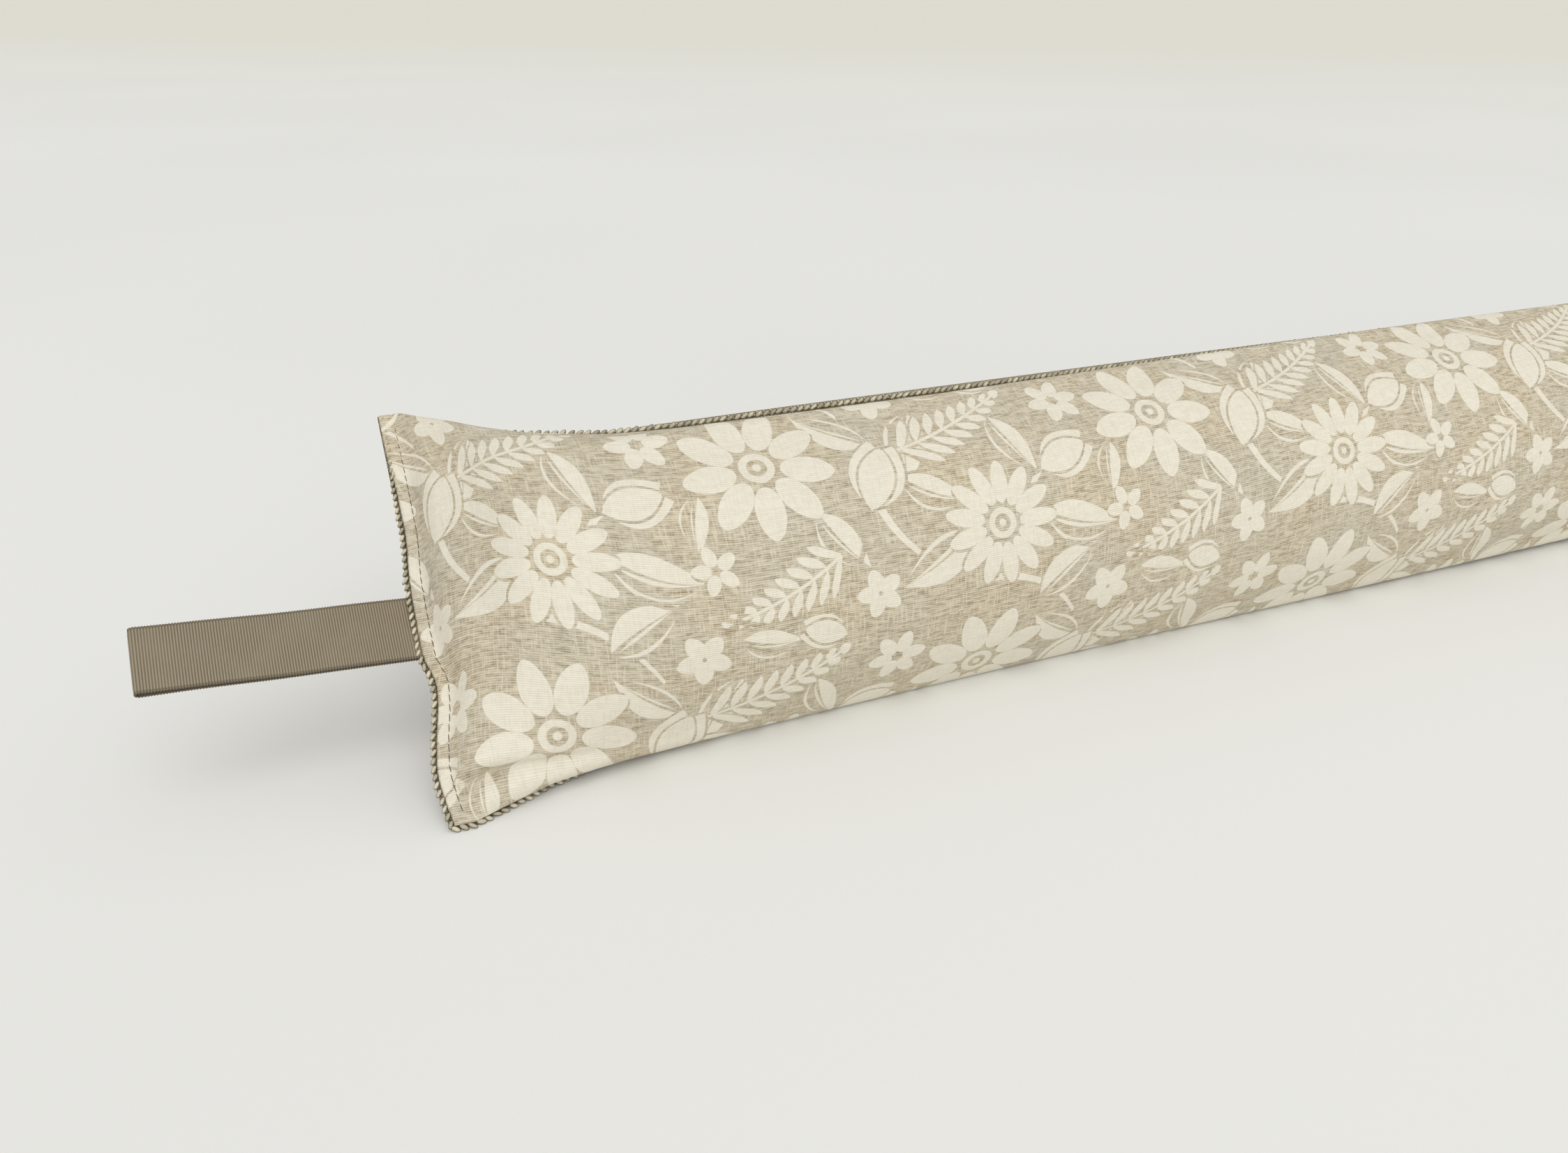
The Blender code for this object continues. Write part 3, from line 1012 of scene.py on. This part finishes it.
def basket_weave():
    """Coarse plain weave of the back: light slubby threads over and under, with painted shade between them.
    """
    finish = Finish("back_weave", Roughness=0.95, Specular_IOR_Level=0.2)
    place = finish.cloth_place()
    drift = finish.node("TexNoise", {}, {"Vector": place, "Scale": 0.12}, "Color")
    place = finish.vector("ADD", place, finish.vector("MULTIPLY", drift, (0.9, 0.9, 0.9)))
    along, across = finish.dot(place, (1, 0, 0)), finish.dot(place, (0, 1, 0))
    pitch = KNOT_PITCH / MM / 2
    run = (along / pitch - 0.5).wrap(0.5) * math.pi
    rise = (across / pitch - 0.5).wrap(0.5) * math.pi
    over = finish.node("TexChecker", {}, {"Vector": place, "Scale": 1 / pitch}, "Fac")
    run_round, rise_round = finish.maths_of("COSINE", run), finish.maths_of("COSINE", rise)
    lengthwise = (rise_round**0.8) * (run_round**0.3)
    crosswise = (run_round**0.8) * (rise_round**0.3)
    height = lengthwise * over + crosswise * (1 - over)
    slub = finish.noise(place, 0.35, 3.0, 0.6)
    fibre = finish.noise(place, 3.2, 2.0, 0.6)
    height = height * (0.8 + slub * 0.4)
    light = finish.mix(slub.step(0.35, 0.65), colour(188, 180, 156), colour(220, 214, 194))
    light = finish.mix(fibre.step(0.3, 0.7) * 0.35, light, colour(150, 140, 112))
    # The rim beside the front lies between the knots, in their shade.
    rim = (abs(across)).step(2.4, 1.4).most((PANEL_WIDTH / MM - abs(across)).step(2.4, 1.4))
    light = finish.mix(rim * 0.9, light, colour(80, 69, 46))
    # Painted shade: the cloth is painted dark where the threads lie low, between them.
    finish.set(Base_Color=finish.mix(height.step(0.15, 0.75), colour(110, 98, 74), light))
    finish.set(Normal=finish.bump(height + fibre * 0.15, 0.0007))
    return finish


def knot_thread():
    finish = Finish("coarse_thread", Roughness=0.95, Specular_IOR_Level=0.2)
    tone_and_rim_shade = finish.node("Attribute", {"attribute_name": "tone_and_rim_shade"}, {}, "Fac")
    place = finish.node("TexCoord", {}, {}, "Object")
    fibre = finish.noise(place, 1500, 2.0, 0.6)
    # Painted shade: each knot is painted darker towards its rim, over the knot's own random tone in its
    # middle.
    light = finish.mix(tone_and_rim_shade, colour(84, 74, 50), colour(236, 228, 204))
    finish.set(Base_Color=finish.mix(fibre.step(0.35, 0.75) * 0.3, light, colour(130, 118, 86)))
    finish.set(Normal=finish.bump(fibre, 0.00025))
    return finish


def sewing_thread():
    finish = Finish("sewing_thread", Roughness=0.7, Specular_IOR_Level=0.3)
    tone_and_rim_shade = finish.node("Attribute", {"attribute_name": "tone_and_rim_shade"}, {}, "Fac")
    place = finish.node("TexCoord", {}, {}, "Object")
    fibre = finish.noise(place, 3000, 1.0)
    # Painted shade: each stitch is painted darker towards its rim, over its own random tone.
    dark = finish.mix(tone_and_rim_shade, colour(92, 84, 70), colour(116, 107, 92))
    finish.set(Base_Color=finish.mix(fibre * 0.4, dark, colour(88, 80, 66)))
    finish.set(Normal=finish.bump(fibre, 0.0001))
    return finish


def ribbed_ribbon():
    """Taupe ribbed ribbon: rounded ribs across it, painted shade in the grooves between them, a plain dark
    selvedge.
    """
    finish = Finish("ribbed_ribbon", Roughness=0.55, Specular_IOR_Level=0.35)
    place = finish.cloth_place()
    along, across = finish.dot(place, (1, 0, 0)), finish.dot(place, (0, 1, 0))
    ribs = finish.maths_of("COSINE", along * (2 * math.pi * MM / RIB_PITCH)) * 0.5 + 0.5
    threads = finish.noise(finish.vector("MULTIPLY", place, (0.9, 6.0, 1)), 1.0, 2.0)
    worn = finish.noise(place, 0.08, 2.0)
    from_edge = RIBBON_WIDTH / MM / 2 - abs(across)
    edge = from_edge.step(1.3, 0.7)
    # Painted shade: the grooves between the ribs are painted darker.
    body = finish.mix(ribs.step(0.05, 0.8), colour(108, 98, 79), colour(158, 147, 126))
    body = finish.mix(threads.step(0.35, 0.7) * 0.35, body, colour(128, 116, 95))
    body = finish.mix(worn.step(0.4, 0.7) * 0.25, body, colour(150, 141, 121))
    body = finish.mix(edge * 0.65, body, colour(96, 86, 68))
    finish.set(Base_Color=body, Normal=finish.bump(ribs * 0.6 + threads * 0.4, 0.00012))
    return finish


# ---------------------------------------------------------------- room, lights, camera

CAMERA_PITCH = 26.4
CAMERA_TURN = 22.8
CAMERA_LENS = 27.24
CAMERA_FROM_END = (-0.0228, -0.3952, 0.2619)


def add_light(name, kind, place, aim, energy, **settings):
    data = bpy.data.lights.new(name, kind)
    data.energy, data.color = energy, (1.0, 0.99, 0.97)
    for key, value in settings.items():
        setattr(data, key, value)
    light = bpy.data.objects.new(name, data)
    light.location = place
    light.rotation_euler = (Vector(aim) - Vector(place)).to_track_quat("-Z", "Y").to_euler()
    bpy.context.scene.collection.objects.link(light)


def make_room():
    bpy.ops.object.select_all(action="DESELECT")
    bpy.ops.mesh.primitive_plane_add(size=160, location=(0, 0, 0))
    floor = bpy.context.object
    floor.name = "floor"
    paper = Finish("paper", Roughness=0.9, Specular_IOR_Level=0.1)
    place = paper.node("TexCoord", {}, {}, "Object")
    cloudy = paper.noise(place, 1.1, 1.0).step(0.3, 0.7)
    near = paper.mix(cloudy, (0.825, 0.83, 0.815, 1), (0.845, 0.85, 0.835, 1))
    # Painted shade: the floor is painted darker and yellower further off along this direction, as the light
    # falls off.
    distance = paper.dot(place, (0.8, 1, 0))
    paper.set(Base_Color=paper.mix(distance.step(1.0, 9.0), near, (0.80, 0.795, 0.715, 1)))
    floor.data.materials.append(paper.material)
    world = bpy.data.worlds.new("daylight")
    world.use_nodes = True
    background = world.node_tree.nodes["Background"]
    background.inputs["Color"].default_value = (1.0, 0.99, 0.965, 1)
    background.inputs["Strength"].default_value = 0.66
    bpy.context.scene.world = world
    add_light("daylight", "SUN", (-0.6, -1.6, 2.4), (-0.1, 0, 0), 0.95, angle=math.radians(60))
    add_light("front fill", "AREA", (-0.5, -2.4, 0.9), (-0.3, 0, 0), 12.5, size=3.2)
    bpy.context.scene.view_settings.view_transform = "Standard"


def make_camera():
    data = bpy.data.cameras.new("camera")
    data.sensor_width, data.lens = 36, CAMERA_LENS
    data.clip_start, data.clip_end = 0.01, 200
    camera = bpy.data.objects.new("camera", data)
    x, y, z = CAMERA_FROM_END
    camera.location = (x - LENGTH / 2, y + FOOT_SHIFT, z)
    camera.rotation_euler = Euler((math.radians(90 - CAMERA_PITCH), 0, math.radians(-CAMERA_TURN)))
    bpy.context.scene.collection.objects.link(camera)
    bpy.context.scene.camera = camera


# ---------------------------------------------------------------- putting it together

make_camera()
make_room()

front_cloth = make_front_cloth()
front_cloth.data.materials.append(printed_cotton().material)
back_cover = make_back_cover()
back_cover.data.materials.append(basket_weave().material)
seam_knots = make_seam_knots()
seam_knots.data.materials.append(knot_thread().material)
end_stitches = make_stitches()
end_stitches.data.materials.append(sewing_thread().material)
ribbon = make_ribbon()
ribbon.data.materials.append(ribbed_ribbon().material)

for piece, slot in (
    (front_cloth, "front_cloth"),
    (back_cover, "back_cloth"),
    (seam_knots, "back_cloth"),
    (end_stitches, "ribbon"),
    (ribbon, "ribbon"),
):
    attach(piece, "root")

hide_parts("front_panel")
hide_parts("filled_body")
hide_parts("ribbon_loop")
